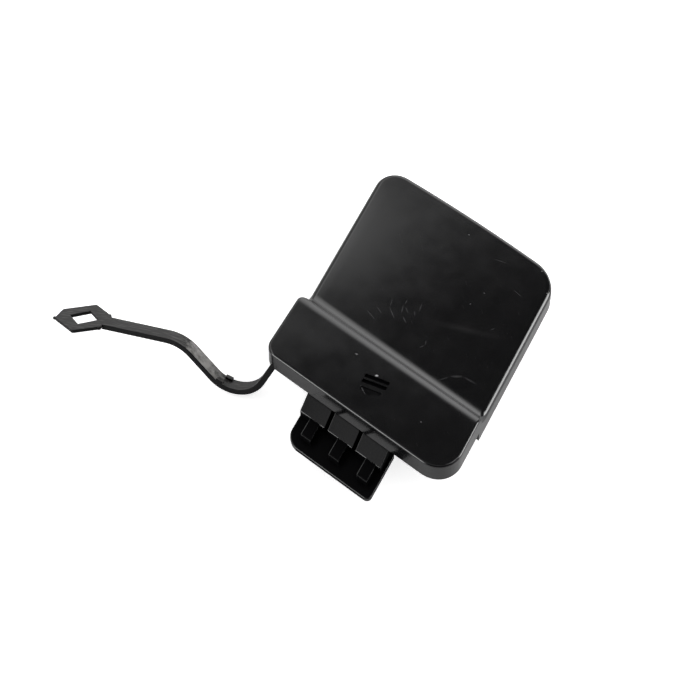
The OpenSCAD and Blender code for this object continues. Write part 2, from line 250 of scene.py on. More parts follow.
class Plan:
    """Places on the cover that several pieces share."""

    def __init__(self):
        c = sizes("cover")
        self.c = c
        self.top_v = c.height / 2
        self.bottom_v = -c.height / 2
        self.step_v = self.bottom_v + c.band
        self.side_x = c.width / 2
        self.panel_z = c.skirt
        self.band_z = c.skirt + c.step
        self.seat_z = c.step
        self.slope = math.acos(1 - (c.step - c.step_wall) / (c.step_rim + c.foot))
        self.left_low = c.left_inset - self.side_x
        self.left_top = self.left_low - c.lean
        self.band_left = self.left_low - c.band_out

    def at(self, x, v):
        """The point at x on the slanted line that lies a distance v up the cover."""
        return x, (v - x * math.sin(self.c.skew)) / math.cos(self.c.skew)

    def height_up(self, point):
        """How far up the cover, square to the slanted edges, a point lies."""
        return point.x * math.sin(self.c.skew) + point.y * math.cos(self.c.skew)


# Mesh tools

def block(points, low, high):
    """A closed block over an outline."""
    bm = bmesh.new()
    base = bm.faces.new([bm.verts.new((x, y, low)) for x, y in points])
    grown = bmesh.ops.extrude_face_region(bm, geom=[base])["geom"]
    raised = [g for g in grown if isinstance(g, bmesh.types.BMVert)]
    bmesh.ops.translate(bm, vec=(0, 0, high - low), verts=raised)
    bmesh.ops.recalc_face_normals(bm, faces=bm.faces)
    return bm


def bar(plan, profile, x_from, x_to):
    """A profile of (v, z) points stretched along the slanted edges, from one x to another."""
    bm = bmesh.new()
    corners = [(*plan.at(x_from, v), z) for v, z in profile]
    base = bm.faces.new([bm.verts.new(p) for p in corners])
    grown = bmesh.ops.extrude_face_region(bm, geom=[base])["geom"]
    moved = [g for g in grown if isinstance(g, bmesh.types.BMVert)]
    run = x_to - x_from
    bmesh.ops.translate(bm, vec=(run, -run * math.tan(plan.c.skew), 0), verts=moved)
    bmesh.ops.recalc_face_normals(bm, faces=bm.faces)
    return bm


def edge_block(plan, profile, u_from, u_to):
    """A profile of (v, z) points stretched square to it, in the frame of the slanted edges."""
    bm = bmesh.new()
    base = bm.faces.new([bm.verts.new((u_from, v, z)) for v, z in profile])
    grown = bmesh.ops.extrude_face_region(bm, geom=[base])["geom"]
    moved = [g for g in grown if isinstance(g, bmesh.types.BMVert)]
    bmesh.ops.translate(bm, vec=(u_to - u_from, 0, 0), verts=moved)
    bmesh.ops.rotate(bm, matrix=Matrix.Rotation(-plan.c.skew, 3, "Z"), verts=bm.verts)
    bmesh.ops.recalc_face_normals(bm, faces=bm.faces)
    return bm


def bevel(bm, edges, offset, segments):
    """Rounds edges with a circular profile."""
    bmesh.ops.bevel(bm, geom=edges, offset=offset, offset_type="OFFSET", segments=segments,
                    profile=0.5, affect="EDGES", material=-1, clamp_overlap=True)


def round_uprights(bm, corners, radii, segments):
    """Rounds the upright edges of a block, each to its own radius."""
    for corner, radius in zip(corners, radii):
        if radius <= 0:
            continue
        place = Vector(corner)
        uprights = [e for e in bm.edges
                    if all((v.co.xy - place).length < TOUCH for v in e.verts)]
        turn = uprights[0].calc_face_angle()
        bevel(bm, uprights, radius * math.tan(turn / 2), segments)


def level_edges(bm, z):
    """The edges that lie at one height."""
    return [e for e in bm.edges if all(abs(v.co.z - z) < TOUCH for v in e.verts)]


def soften(bm, offset, segments=2):
    """Rounds every edge of a block that isn't flat or already smooth."""
    sharp = [e for e in bm.edges
             if e.is_manifold and e.calc_face_angle() > math.radians(35)]
    bevel(bm, sharp, offset, segments)
    return bm


def cut(bm, point, normal):
    """Cuts every face along a plane."""
    bmesh.ops.bisect_plane(bm, geom=[*bm.verts, *bm.edges, *bm.faces], dist=TOUCH / 10,
                           plane_co=point, plane_no=normal)


def as_object(bm, name):
    """A scratch object that holds a bmesh."""
    mesh = bpy.data.meshes.new(name)
    bm.to_mesh(mesh)
    bm.free()
    scratch = bpy.data.objects.new(name, mesh)
    bpy.context.scene.collection.objects.link(scratch)
    return scratch


def combine(bm, others, operation):
    """Joins solids to the first one, or cuts them out of it."""
    base = as_object(bm, "combined")
    tools = [as_object(other, "tool") for other in others]
    for tool in tools:
        modifier = base.modifiers.new("combine", "BOOLEAN")
        modifier.operation = operation
        modifier.solver = "EXACT"
        modifier.object = tool
    shown = base.evaluated_get(bpy.context.evaluated_depsgraph_get())
    result = bmesh.new()
    result.from_mesh(shown.data)
    for scratch in [base, *tools]:
        mesh = scratch.data
        bpy.data.objects.remove(scratch)
        bpy.data.meshes.remove(mesh)
    bmesh.ops.remove_doubles(result, verts=result.verts, dist=TOUCH)
    return result


def merged(parts):
    """Several closed solids in one bmesh, side by side."""
    result = bmesh.new()
    for part in parts:
        mesh = bpy.data.meshes.new("part")
        part.to_mesh(mesh)
        part.free()
        result.from_mesh(mesh)
        bpy.data.meshes.remove(mesh)
    return result


def place_piece(bm, name, materials, smooth_angle=32):
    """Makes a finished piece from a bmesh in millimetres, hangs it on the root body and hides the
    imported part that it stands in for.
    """
    bmesh.ops.scale(bm, vec=(MM, MM, MM), verts=bm.verts)
    mesh = bpy.data.meshes.new(name)
    bm.to_mesh(mesh)
    bm.free()
    mesh.shade_smooth()
    mesh.set_sharp_from_angle(angle=math.radians(smooth_angle))
    piece = bpy.data.objects.new(name, mesh)
    bpy.context.scene.collection.objects.link(piece)
    for material in materials:
        mesh.materials.append(material)
    normals = piece.modifiers.new("flat faces stay flat", "WEIGHTED_NORMAL")
    normals.keep_sharp = True
    normals.weight = 60
    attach(piece, "root")
    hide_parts(NODE)
    return piece


# Cover

def crowned(bm, plan, z, crown, x_range, v_range):
    """Raises the middle of a block's top into a low crown."""
    x_mid, x_half = sum(x_range) / 2, (x_range[1] - x_range[0]) / 2
    v_mid, v_half = sum(v_range) / 2, (v_range[1] - v_range[0]) / 2
    for vert in bm.verts:
        if vert.co.z > z - TOUCH:
            across = max(0, 1 - ((vert.co.x - x_mid) / x_half) ** 2)
            along = max(0, 1 - ((plan.height_up(vert.co) - v_mid) / v_half) ** 2)
            vert.co.z += crown * across * along


def grid_cut(bm, plan, x_range, v_range, columns, rows):
    """Cuts a block into columns and rows, so that its faces can bend."""
    for i in range(1, columns):
        x = x_range[0] + (x_range[1] - x_range[0]) * i / columns
        cut(bm, (x, 0, 0), (1, 0, 0))
    for i in range(1, rows):
        v = v_range[0] + (v_range[1] - v_range[0]) * i / rows
        cut(bm, (*plan.at(0, v), 0), (math.sin(plan.c.skew), math.cos(plan.c.skew), 0))


def bowed(bm, plan):
    """Bows the top edge, and everything above the middle with it."""
    square = Vector((math.sin(plan.c.skew), math.cos(plan.c.skew), 0))
    for vert in bm.verts:
        v = plan.height_up(vert.co)
        if v > 0:
            share = max(0, 1 - (vert.co.x / plan.side_x) ** 2)
            vert.co += square * plan.c.bow * share * v / plan.top_v


def panel_block(plan, margin, low_v, low, high):
    """The large panel's outline as a block, drawn in by a margin."""
    c = plan.c
    corners = [
        plan.at(plan.left_low + margin, low_v),
        plan.at(plan.side_x - margin, low_v),
        plan.at(plan.side_x - margin, plan.top_v - margin),
        plan.at(plan.left_top + margin, plan.top_v - margin),
    ]
    bm = block(corners, low, high)
    round_uprights(bm, corners, [0, 0, c.top_right - margin, c.top_left - margin], 20)
    return bm


def band_block(plan, margin, low, high):
    """The raised band's outline as a block, drawn in by a margin."""
    c = plan.c
    corners = [
        plan.at(plan.band_left - c.flare + margin, plan.bottom_v + margin),
        plan.at(plan.side_x - margin, plan.bottom_v + margin),
        plan.at(plan.side_x - margin, plan.step_v - margin),
        plan.at(plan.band_left + margin, plan.step_v - margin),
    ]
    radii = [c.bottom_left - margin, c.bottom_right - margin,
             max(0, c.small - margin), max(0, c.band_out + c.small - margin)]
    bm = block(corners, low, high)
    round_uprights(bm, corners, radii, 18)
    return bm


def step_cuts(bm, plan, start, radius, way):
    """Cuts a block across, more closely towards the steep end of one of the step's radii."""
    for i in range(STEP_CUTS + 1):
        v = start + way * radius * math.sin(plan.slope * i / STEP_CUTS)
        cut(bm, (*plan.at(0, v), 0), (math.sin(plan.c.skew), math.cos(plan.c.skew), 0))


def rolled(bm, plan, start, radius, way, above):
    """Moves the top and the rim of a block along one of the step's radii: way is -1 for the
    hollow one, which climbs towards the band, and 1 for the band's own, which falls."""
    for vert in bm.verts:
        if vert.co.z > above:
            run = max(0, way * (plan.height_up(vert.co) - start))
            run = min(run, radius * math.sin(plan.slope))
            vert.co.z -= way * (radius - math.sqrt(radius ** 2 - run ** 2))


def panel_form(plan):
    """Outer form of the panel: skirt, rounded rim, crown, bowed top edge and the step's foot."""
    c = plan.c
    bm = panel_block(plan, 0, plan.step_v - c.wall, 0, plan.panel_z)
    rim = [e for e in level_edges(bm, plan.panel_z)
           if any(plan.height_up(v.co) > plan.step_v for v in e.verts)]
    bevel(bm, rim, c.rim, 8)
    x_range = (plan.left_top + c.rim, plan.side_x - c.rim)
    v_range = (plan.step_v - c.wall, plan.top_v - c.rim)
    grid_cut(bm, plan, x_range, v_range, 16, 14)
    start = plan.step_v + c.foot * math.sin(plan.slope)
    step_cuts(bm, plan, start, c.foot, -1)
    crowned(bm, plan, plan.panel_z, c.crown, x_range, v_range)
    rolled(bm, plan, start, c.foot, -1, plan.panel_z - c.rim - TOUCH)
    bowed(bm, plan)
    return bm


def band_form(plan):
    """Outer form of the raised band, which rolls over into the step."""
    c = plan.c
    bm = band_block(plan, 0, plan.seat_z, plan.band_z)
    rim = [e for e in level_edges(bm, plan.band_z)
           if any(plan.height_up(v.co) < plan.step_v - TOUCH for v in e.verts)]
    bevel(bm, rim, c.band_rim, 8)
    reach = c.step_rim * math.sin(plan.slope)
    x_range = (plan.band_left + c.band_rim, plan.side_x - c.band_rim)
    v_range = (plan.bottom_v + c.band_rim, plan.step_v - reach)
    grid_cut(bm, plan, x_range, v_range, 16, 6)
    step_cuts(bm, plan, plan.step_v - reach, c.step_rim, 1)
    crowned(bm, plan, plan.band_z, c.band_crown, x_range, v_range)
    rolled(bm, plan, plan.step_v - reach, c.step_rim, 1, plan.band_z - c.band_rim - TOUCH)
    return bm


def hollows(plan):
    """What is cut out of the back of the cover."""
    c = plan.c
    panel = panel_block(plan, c.wall, plan.step_v - 2 * c.wall, -1, plan.panel_z - c.wall)
    grid_cut(panel, plan, (plan.left_top, plan.side_x), (plan.step_v, plan.top_v), 16, 2)
    bowed(panel, plan)
    return [panel, band_block(plan, c.wall, -2, plan.band_z - c.wall)]


def drafted(bm, low, high, draft, middle, half):
    """Widens the top of a cutter and narrows its floor, each by its own share of a draft."""
    for vert in bm.verts:
        by = draft[1] if vert.co.z > high else -draft[0]
        away = vert.co.xy - middle
        vert.co.x = middle.x + away.x * (1 + by / half.x)
        vert.co.y = middle.y + away.y * (1 + by / half.y)
    return bm


def press_mark(plan):
    """Cutters for the sunk arrow: a head that points to the tongue, and two bars over it. The
    head's floor rises from its point to the bars."""
    m = sizes("mark")
    head = m.height - 2 * (m.bar + m.space)
    tip_y = plan.at(0, plan.bottom_v)[1] + m.gap
    half = m.width / 2
    shoulder = head * m.shoulder
    shapes = [[(0, 0), (half, shoulder), (half, head), (-half, head), (-half, shoulder)]]
    for i in (1, 2):
        foot = head + i * m.space + (i - 1) * m.bar
        shapes.append([(-half, foot), (half, foot), (half, foot + m.bar), (-half, foot + m.bar)])
    cutters = []
    for i, shape in enumerate(shapes):
        low = plan.band_z - m.depth
        bm = block([(x, y + tip_y) for x, y in shape], low, plan.band_z + 2)
        high_y = max(y for _, y in shape)
        low_y = min(y for _, y in shape)
        middle = Vector((0, tip_y + (low_y + high_y) / 2))
        floor_draft = m.head_draft if i == 0 else 0
        drafted(bm, low, plan.band_z, (floor_draft, m.draft), middle,
                Vector((half, (high_y - low_y) / 2)))
        if i == 0:
            for vert in bm.verts:
                if vert.co.z < plan.band_z:
                    vert.co.z += m.depth * (vert.co.y - tip_y) / head
        cutters.append(bm)
    return cutters


def cover_shell(plan):
    """The stepped shell, hollow at the back, with the sunk arrow on its band. The arrow's walls, the
    floors of its bars and the thin crease along the step take the second material, a near-black matt
    that paints their shade."""
    bm = combine(panel_form(plan), [band_form(plan)], "UNION")
    bm = combine(bm, [*hollows(plan), *press_mark(plan)], "DIFFERENCE")
    c, m = plan.c, sizes("mark")
    bar_low = plan.at(0, plan.bottom_v)[1] + m.gap + m.height - 2 * (m.bar + m.space)
    floor_z = plan.band_z - m.depth
    for face in bm.faces:
        middle = face.calc_center_median()
        inside = (abs(middle.x) < m.width / 2 + m.draft and middle.y > bar_low - m.height
                  and floor_z - TOUCH < middle.z < plan.band_z + c.band_crown - TOUCH
                  and plan.height_up(middle) < plan.step_v - c.step_rim)
        wall = inside and face.normal.z < 0.95
        floor = abs(middle.z - floor_z) < TOUCH and inside and middle.y > bar_low
        crease = (-TOUCH < plan.height_up(middle) - plan.step_v < PAINTED_CREASE_SHADE
                  and plan.panel_z < middle.z < plan.band_z and -0.1 < face.normal.z < 0.9
                  and plan.height_up(face.normal) > 0)
        # Painted shade: the arrow's walls, its bar floors and the step's crease take the near-black
        # matt
        face.material_index = 1 if wall or floor or crease else 0
    return bm


# Tongue, hooks and ribs

def tongue_mesh(plan):
    """The tongue with its web, wedges and ribs."""
    t = sizes("tongue")
    c = plan.c
    top = plan.seat_z - t.drop
    left, right = t.middle - t.width / 2, t.middle + t.width / 2
    web_v = plan.bottom_v + t.web_inset
    front_v = plan.bottom_v - t.reach
    corners = [plan.at(left, web_v + BITE), plan.at(left, front_v),
               plan.at(right, front_v), plan.at(right, web_v + BITE)]
    plate = block(corners, top - t.thick, top)
    round_uprights(plate, corners, [0, t.left_corner, t.right_corner, 0], 14)
    soften(plate, t.edge, 3)
    web = bar(plan, [(web_v, top - t.thick / 2), (web_v, plan.band_z - c.wall + BITE),
                     (web_v + c.wall, plan.band_z - c.wall + BITE),
                     (web_v + c.wall, top - t.thick / 2)], left + t.edge, right - t.edge)
    parts = [web]
    count = 3
    pitch = t.width / count
    wedge_front = plan.bottom_v - t.wedge_reach
    for i in range(count):
        start = left + i * pitch
        wedge = bar(plan, [(web_v + BITE, top - BITE), (web_v + BITE, plan.seat_z - t.play),
                           (wedge_front, top + t.rib_h), (wedge_front, top - BITE)],
                    start, start + pitch - t.slot)
        parts.append(soften(wedge, t.edge))
        rib_left = start + (pitch - t.rib_w) * 0.58
        rib_front = front_v + t.rib_back
        rib = bar(plan, [(web_v, top - BITE), (web_v, top + t.rib_h - TOUCH),
                         (rib_front, top + t.rib_h - TOUCH), (rib_front, top - BITE)],
                  rib_left, rib_left + t.rib_w)
        parts.append(soften(rib, t.edge))
    return polished_edges(combine(plate, parts, "UNION"), plan)


def polished_edges(bm, plan):
    """Gives the rounded edges and the wedges' slopes the second, glossier material; the flat faces
    keep the first, a near-black matt that paints the shade the tongue lies in under the band.
    """
    axes = [Vector((math.cos(plan.c.skew), -math.sin(plan.c.skew), 0)),
            Vector((math.sin(plan.c.skew), math.cos(plan.c.skew), 0)),
            Vector((1, 0, 0)), Vector((0, 0, 1))]
    for face in bm.faces:
        face.material_index = 0 if any(abs(face.normal.dot(axis)) > 0.99 for axis in axes) else 1
    return bm


def hook_mesh(plan):
    """Two snap hooks, each with its gussets."""
    h = sizes("hook")
    face = plan.top_v - h.inset
    root = plan.panel_z - plan.c.wall + BITE
    catch = h.catch - h.reach
    hooks = []
    for side in (-1, 1):
        middle = side * h.pitch / 2 - plan.top_v * math.tan(plan.c.skew)
        arm = edge_block(plan, [
            (face - h.thick, root), (face - h.thick, -h.reach), (face - h.thick + 1.4, -h.reach),
            (face + h.barb, catch - 1), (face + h.barb, catch), (face, catch + 0.4), (face, root),
        ], middle - h.width / 2, middle + h.width / 2)
        soften(arm, 0.25)
        gussets = []
        for edge in (-1, 1):
            centre = middle + edge * (h.width - h.rib_t) / 2
            gussets.append(edge_block(plan, [
                (face - h.thick + BITE, root), (face - h.thick + BITE, catch),
                (face - h.thick - h.gusset, root),
            ], centre - h.rib_t / 2 + TOUCH, centre + h.rib_t / 2 - TOUCH))
        hooks.append(combine(arm, gussets, "UNION"))
    return merged(hooks)


def stiffener_mesh(plan):
    """Ribs under the panel: two along it and one across."""
    h = sizes("hook")
    c = plan.c
    low = plan.panel_z - c.wall - h.rib_h
    high = plan.panel_z - c.wall + BITE
    start_v = plan.step_v - c.wall
    end_v = plan.top_v - h.inset - h.thick
    ribs = []
    for side in (-1, 1):
        x = side * h.rib_pitch / 2
        ribs.append(block([
            plan.at(x - h.rib_t / 2, start_v), plan.at(x + h.rib_t / 2, start_v),
            plan.at(x + h.rib_t / 2, end_v), plan.at(x - h.rib_t / 2, end_v)], low, high))
    middle_v = (plan.step_v + plan.top_v) / 2
    across = bar(plan, [(middle_v - h.rib_t / 2, low), (middle_v + h.rib_t / 2, low),
                        (middle_v + h.rib_t / 2, high), (middle_v - h.rib_t / 2, high)],
                 plan.left_low + c.wall - BITE, plan.side_x - c.wall + BITE)
    return combine(across, ribs, "UNION")


# Tether

class Route:
    """The tether's way in its own plane: straight stretches and bends, from the root."""

    HEADING = -5
    ROLL = 17.3
    SIDE_GAP = 3.6
    EDGE_GAP = 5.9
    STEEP, UP, FALL, EYE_FALL = -67, 40.4, -5.2, -12.5
    EYE_TURN = 5.5

    def __init__(self, plan):
        t = sizes("tether")
        self.t = t
        half = t.thick / 2
        self.legs = [
            (t.drop, 0),
            (t.bend + half, self.UP - self.STEEP),
            (t.rise, 0),
            (t.crest + half, self.FALL - self.UP),
            (t.run, 0),
            (t.neck, self.EYE_FALL - self.FALL),
        ]
        x = plan.band_left + plan.c.wall + self.SIDE_GAP
        y = plan.at(x, plan.bottom_v)[1] + self.EDGE_GAP
        self.root = Vector((x, y, plan.band_z - plan.c.wall + BITE))

    def into_cover(self):
        """Turns the tether's plane into the cover's frame."""
        return (Matrix.Translation(self.root)
                @ Matrix.Rotation(math.radians(180 - self.HEADING), 4, "Z")
                @ Matrix.Rotation(math.radians(90 + self.ROLL), 4, "X"))

    def place(self, leg, share):
        """The point and heading a share of the way along a leg."""
        point, heading = Vector((0, 0)), math.radians(self.STEEP)
        for i, (size, turn) in enumerate(self.legs[:leg + 1]):
            part = share if i == leg else 1
            if turn == 0:
                point = point + Vector((math.cos(heading), math.sin(heading))) * size * part
            else:
                way = math.copysign(1, turn)
                centre = point + Vector((-math.sin(heading), math.cos(heading))) * size * way
                heading += math.radians(turn) * part
                point = centre + Vector((math.sin(heading), -math.cos(heading))) * size * way
        return point, heading


def strap(route):
    """The tether's strap: a rounded section extruded along the stretches and spun round the bends."""
    t = route.t
    bm = bmesh.new()
    heading = math.radians(route.STEEP)
    across = Vector((-math.sin(heading), math.cos(heading), 0)) * t.thick / 2
    side = Vector((0, 0, t.width / 2))
    corners = [across + side, -across + side, -across - side, across - side]
    section = bm.faces.new([bm.verts.new(p) for p in corners])
    bmesh.ops.bevel(bm, geom=list(bm.verts), offset=t.edge, offset_type="OFFSET", segments=3,
                    profile=0.5, affect="VERTICES", material=-1)
    end = bm.faces[:] if not section.is_valid else [section]
    for leg, (size, turn) in enumerate(route.legs):
        point, heading = route.place(leg, 0)
        if turn == 0:
            ahead = Vector((math.cos(heading), math.sin(heading), 0)) * size
            grown = bmesh.ops.extrude_face_region(bm, geom=end)["geom"]
            moved = [g for g in grown if isinstance(g, bmesh.types.BMVert)]
            bmesh.ops.translate(bm, vec=ahead, verts=moved)
        else:
            way = math.copysign(1, turn)
            centre = point + Vector((-math.sin(heading), math.cos(heading))) * size * way
            grown = bmesh.ops.spin(
                bm, geom=end, cent=(*centre, 0), axis=(0, 0, 1), angle=math.radians(turn),
                steps=max(4, round(abs(turn) / 4)), use_duplicate=False)["geom_last"]
        end = [g for g in grown if isinstance(g, bmesh.types.BMFace)]
    bmesh.ops.remove_doubles(bm, verts=bm.verts, dist=TOUCH)
    inner = [f for f in bm.faces if all(len(e.link_faces) > 2 for e in f.edges)]
    bmesh.ops.delete(bm, geom=inner, context="FACES_ONLY")
    bmesh.ops.recalc_face_normals(bm, faces=bm.faces)
    return bm


def eye_mesh(route):
    """The flat eye with its diamond hole, in the tether's plane."""
    t = route.t
    outline = [(-BITE, -t.eye_neck / 2), (t.eye_mid, -t.eye_w / 2), (t.eye_l, -t.nose / 2),
               (t.eye_l, t.nose / 2), (t.eye_mid, t.eye_w / 2), (-BITE, t.eye_neck / 2)]
    plate = block(outline, 0, t.eye_t)
    round_uprights(plate, outline, [0, t.corner, t.corner, t.corner, t.corner, 0], 5)
    hole = block([(t.eye_mid - t.hole_l / 2, 0), (t.eye_mid, -t.hole_w / 2),
                  (t.eye_mid + t.hole_l / 2, 0), (t.eye_mid, t.hole_w / 2)], -1, t.eye_t + 1)
    bm = combine(plate, [hole], "DIFFERENCE")
    soften(bm, t.edge)
    gate = block([(t.eye_l - t.nub, -t.nose / 2), (t.eye_l + t.nub, -t.nose / 2),
                  (t.eye_l + t.nub, t.nub - t.nose / 2), (t.eye_l - t.nub, t.nub - t.nose / 2)],
                 0.2, t.eye_t - 0.2)
    marks = [soften(gate, t.edge)]
    for side in (-1, 1):
        reach = t.nub * math.sqrt(0.5)
        y = side * t.eye_neck / 2
        marks.append(block([(-reach, y), (0, y - reach), (reach, y), (0, y + reach)],
                           0.15, t.eye_t - 0.15))
    bm = combine(bm, marks, "UNION")
    point, heading = route.place(len(route.legs) - 1, 1)
    turn = (Matrix.Translation((*point, 0)) @ Matrix.Rotation(heading, 4, "Z")
            @ Matrix.Rotation(math.radians(90), 4, "X")
            @ Matrix.Translation((0, 0, -t.thick / 2))
            @ Matrix.Rotation(math.radians(route.EYE_TURN), 4, "Z"))
    bmesh.ops.transform(bm, matrix=turn, verts=bm.verts)
    return bm


def stub_mesh(route, side):
    """One of the stubs that stand on the tether's edges."""
    t = route.t
    point, heading = route.place(1, 0.75 if side > 0 else 0.875)
    half, long, tall = t.stub / 2, 0.8 * t.stub, 0.5 * t.stub + BITE
    bm = block([(-long, 0), (long, 0), (long, tall), (-long, tall)], -half, half)
    soften(bm, t.edge)
    middle = side * (t.width - t.stub) / 2
    turn = (Matrix.Translation((*point, middle)) @ Matrix.Rotation(heading, 4, "Z")
            @ Matrix.Translation((0, t.thick / 2 - BITE, 0)))
    bmesh.ops.transform(bm, matrix=turn, verts=bm.verts)
    return bm


def tether_mesh(route):
    """Strap, stubs and eye as one body, in the cover's frame. The faces across the tether, its narrow
    edges, take the second material, a near-black matt that paints their shade."""
    bm = combine(strap(route), [eye_mesh(route), stub_mesh(route, 1), stub_mesh(route, -1)],
                 "UNION")
    for face in bm.faces:
        # Painted shade: the narrow edges take the near-black matt
        face.material_index = 1 if abs(face.normal.z) > 0.6 else 0
    bmesh.ops.transform(bm, matrix=route.into_cover(), verts=bm.verts)
    return bm


# Materials

def add_node(tree, kind, settings=None, links=None, place=(0, 0)):
    """Adds a shader node. Settings name its own values or input sockets, links name sockets."""
    node = tree.nodes.new(kind)
    node.location = place
    for key, value in (settings or {}).items():
        if isinstance(key, str) and hasattr(node, key):
            setattr(node, key, value)
        else:
            node.inputs[key].default_value = value
    for key, socket in (links or {}).items():
        tree.links.new(socket, node.inputs[key])
    return node


def new_material(name):
    """An empty material with its output node, and its tree."""
    material = bpy.data.materials.new(name)
    material.use_nodes = True
    tree = material.node_tree
    tree.nodes.clear()
    output = add_node(tree, "ShaderNodeOutputMaterial", place=(900, 0))
    return material, tree, output


# Marks of wear on the cover, with a painted glint as the last speck and a painted highlight as the
# last stroke: middle, half length, half width, turn in degrees, strength
SPECKS_AND_GLINT = [(1.6, 47.3, 0.4, 0.3, 0, 0.3), (35.3, 42.6, 0.45, 0.3, 30, 0.3),
          (41.3, 33.1, 0.4, 0.3, 0, 0.25), (-12.3, -29.6, 0.8, 0.45, 10, 0.3),
          (23.2, -48.2, 0.4, 0.3, 0, 0.25), (19.1, 22.2, 0.5, 0.3, 0, 0.15),
          # The last speck is a painted glint at the top edge of the sunk arrow's upper bar
          (16.3, 14.8, 0.5, 0.3, 60, 0.15), (-0.9, -35.7, 0.8, 0.6, 20, 1.0)]
STROKES_AND_HIGHLIGHT = [(-16.9, -6.5, 3.8, 0.4, -31, 0.05), (-14.9, -3, 2.8, 0.35, -36, 0.04),
           (-9.7, -2.3, 3.6, 0.4, -46, 0.06), (-12.1, 2.2, 3, 0.35, -78, 0.04),
           (-6.8, 1.2, 2.8, 0.4, -77, 0.05), (-6.9, 5, 1.7, 0.35, -89, 0.05),
           (-5, 1.4, 2.2, 0.35, -47, 0.05), (-3.9, -3.3, 2.2, 0.4, -43, 0.06),
           (-0.6, 4.8, 3, 0.4, -82, 0.04), (-1.5, 1.1, 1.8, 0.35, -63, 0.04),
           (8.2, -10, 1.5, 0.35, -78, 0.05), (7.6, -12.4, 1.5, 0.35, 52, 0.05),
           (29.1, 7.2, 1.5, 0.35, 50, 0.04), (21.5, -22.6, 3, 0.5, 45, 0.035),
           (25.5, -19.7, 3, 0.7, 25, 0.06), (30.9, -19.2, 3.8, 0.6, -9, 0.045),
           (18.5, 40.1, 4.5, 0.3, 2, 0.04), (30.9, 27.9, 3.7, 0.3, -23, 0.04),
           # The last stroke is a painted highlight along the sunk arrow head's lower left edge
           (19, 2.3, 17, 2, 9, 0.012), (-2.9, -43.9, 2.6, 0.35, -44, 0.2)]


def wear_and_highlight_marks(tree, where, marks, place):
    """A mask of small soft-edged ovals, one for each mark in a list: marks of wear, a painted glint
    and a painted highlight.
    """
    mask = None
    for i, (x, y, long, wide, turn, strength) in enumerate(marks):
        row = place[1] - 160 * i
        oval = add_node(tree, "ShaderNodeMapping", {
            "vector_type": "TEXTURE", "Location": (x * MM, y * MM, 0),
            "Rotation": (0, 0, math.radians(turn)), "Scale": (long * MM, wide * MM, 1)},
            {"Vector": where}, (place[0], row))
        away = add_node(tree, "ShaderNodeVectorMath", {"operation": "LENGTH"},
                        {0: oval.outputs["Vector"]}, (place[0] + 180, row))
        shown = add_node(tree, "ShaderNodeMapRange",
                         {"From Min": 1.0, "From Max": 0.0, "To Max": strength},
                         {"Value": away.outputs["Value"]}, (place[0] + 360, row))
        mark = shown.outputs["Result"]
        if mask is not None:
            both = add_node(tree, "ShaderNodeMath", {"operation": "MAXIMUM"},
                            {0: mask, 1: mark}, (place[0] + 540, row))
            mark = both.outputs["Value"]
        mask = mark
    return mask


def rubbed(tree, where, turn, long, wide, threshold, place):
    """A mask of short strokes in one direction: stretched noise of which only peaks show."""
    run = add_node(tree, "ShaderNodeMapping", {
        "vector_type": "TEXTURE", "Rotation": (0, 0, math.radians(turn)),
        "Scale": (long * MM, wide * MM, 2 * MM)}, {"Vector": where}, place)
    grain = add_node(tree, "ShaderNodeTexNoise", {"Scale": 1.0, "Detail": 1.5, "Roughness": 0.4},
                     {"Vector": run.outputs["Vector"]}, (place[0] + 180, place[1]))
    peaks = add_node(tree, "ShaderNodeMapRange",
                     {"From Min": threshold, "From Max": threshold + 0.1},
                     {"Value": grain.outputs["Fac"]}, (place[0] + 360, place[1]))
    return peaks.outputs["Result"]


